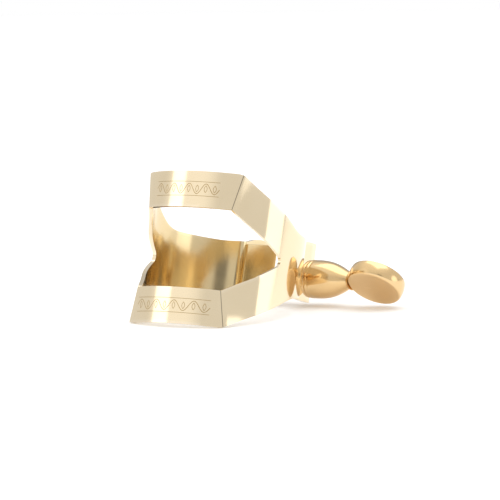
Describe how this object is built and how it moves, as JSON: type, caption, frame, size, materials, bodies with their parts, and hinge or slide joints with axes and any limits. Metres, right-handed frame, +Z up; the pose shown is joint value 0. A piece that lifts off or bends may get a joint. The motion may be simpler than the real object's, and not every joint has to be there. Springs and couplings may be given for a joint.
{
  "type": "saxophone ligature",
  "caption": "Single-screw sheet-brass ligature with two reed bands, a rear pair of ears and a thumbscrew that draws it closed on a mouthpiece.",
  "frame": {"origin": "on the surface that the ligature lies on, under the middle of its bounding box", "axes": "+X along the screw axis towards the thumb paddle, +Y from the reed bands back to the ears, +Z up; the bore axis leans back from +Z towards +Y"},
  "size_m": [0.0406, 0.0394, 0.0265],
  "materials": {
    "lacquered_sheet": "polished, clear gold lacquer",
    "threaded_brass": "turned and threaded",
    "lacquered_casting": "polished, rosy gold lacquer"
  },
  "bodies": {
    "band": {"band": "lacquered_sheet", "threaded_boss": "threaded_brass"},
    "washer": {"thrust_washer": "lacquered_casting"},
    "thumbscrew": {"screw_spindle": "threaded_brass", "bell_collar": "lacquered_casting", "thumb_paddle": "lacquered_casting"}
  },
  "joints": [
    {"name": "screw_travel", "type": "slide", "parent": "band", "child": "washer", "axis": [1, 0, 0], "range_m": [-0.00103, 0.00297]},
    {"name": "screw_turn", "type": "hinge", "parent": "washer", "child": "thumbscrew", "pos_m": [-0.00616, 0.01495, 0.00465], "axis": [1, 0, 0], "range_deg": [-530, 1530]}
  ],
  "couplings": [
    {"joint": "screw_turn", "follows": "screw_travel", "rad_per_m": 8976}
  ]
}
